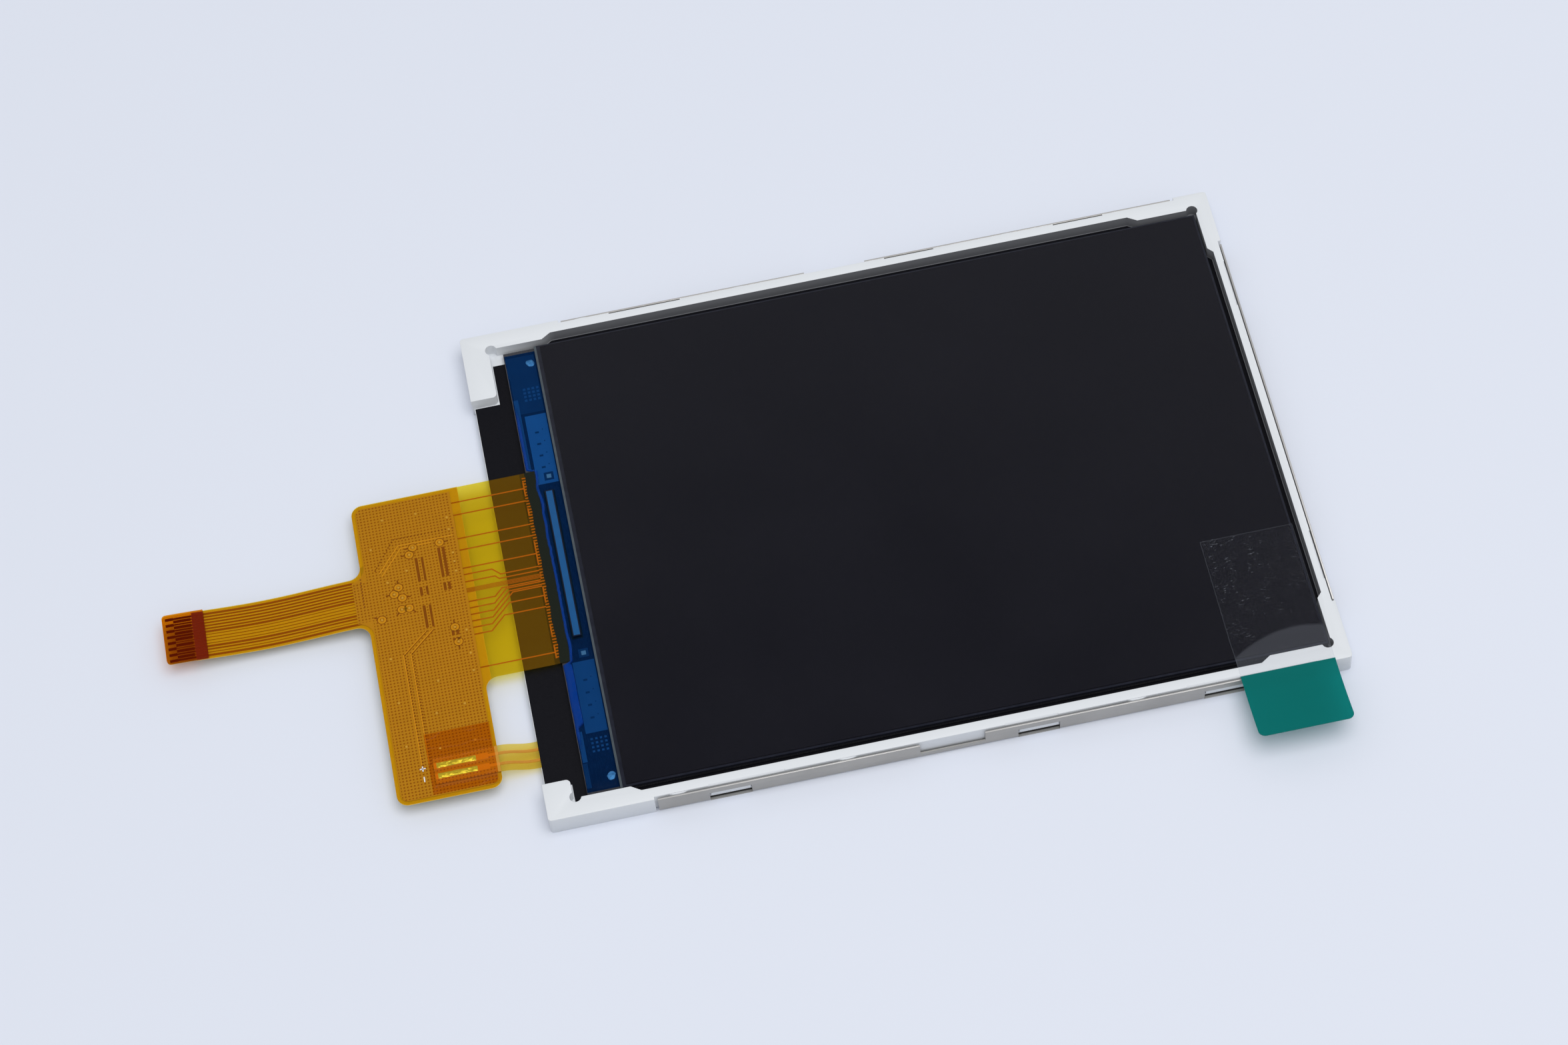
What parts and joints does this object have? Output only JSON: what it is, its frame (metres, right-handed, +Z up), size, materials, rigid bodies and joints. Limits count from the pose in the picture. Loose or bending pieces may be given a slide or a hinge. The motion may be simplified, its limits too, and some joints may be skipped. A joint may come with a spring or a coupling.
{
  "type": "tft display module",
  "caption": "Flat rectangular colour display module: a black glass cell and its backlight in a white moulded frame on a folded steel back, with a narrow flex tail and a green peel tab.",
  "frame": {"origin": "middle of the back shell's underside, on which the module lies", "axes": "+X across the module towards the side with the backlight's tail and the pull tab, +Y along it away from the flex tail, +Z up out of the screen"},
  "size_m": [0.0561, 0.0991, 0.003],
  "materials": {
    "steel": "bright rolled sheet",
    "frame_plastic": "satin moulded white",
    "reflector": "silver-white film",
    "guide_plastic": "clear moulded",
    "sheet_plastic": "frosted film",
    "led_body": "moulded white with phosphor window",
    "black_tape": "matt black film",
    "polarizer": "gloss black film",
    "cell_glass": "polished glass with metal lines",
    "filter_glass": "polished glass with black matrix",
    "clear_film": "clear film",
    "chip": "polished silicon back",
    "bond_film": "cured adhesive film",
    "resin": "translucent blue, glossy",
    "silver_paste": "dull silver paste",
    "polyimide": "amber film",
    "copper": "copper foil, gold flashed at the contacts",
    "stiffener": "brown polyimide",
    "solder": "bright solder",
    "insulation": "amber tape",
    "green_film": "printed green film"
  },
  "bodies": {
    "root": {"back_shell": "steel", "moulded_frame": "frame_plastic", "reflector_sheet": "reflector", "light_guide": "guide_plastic", "diffuser_sheet": "sheet_plastic", "lower_prism_sheet": "sheet_plastic", "upper_prism_sheet": "sheet_plastic", "backlight_flex": "polyimide", "led_1": "led_body", "led_2": "led_body", "led_3": "led_body", "led_4": "led_body", "light_shield_tape": "black_tape", "rear_polarizer": "polarizer", "tft_glass": "cell_glass", "filter_glass": "filter_glass", "front_polarizer": "polarizer", "protective_film": "clear_film", "driver_chip": "chip", "chip_bond_film": "bond_film", "flex_bond_film": "bond_film", "sealing_resin": "resin", "silver_dot_left": "silver_paste", "silver_dot_right": "silver_paste", "flex_back_cover": "polyimide", "neck_traces": "copper", "tail_conductors": "copper", "flex_base": "polyimide", "flex_front_copper": "copper", "flex_front_cover": "polyimide", "tail_stiffener": "stiffener", "solder_joint_left": "solder", "solder_joint_right": "solder", "insulation_tape": "insulation", "pull_strip": "clear_film", "pull_handle": "green_film"}
  },
  "joints": []
}
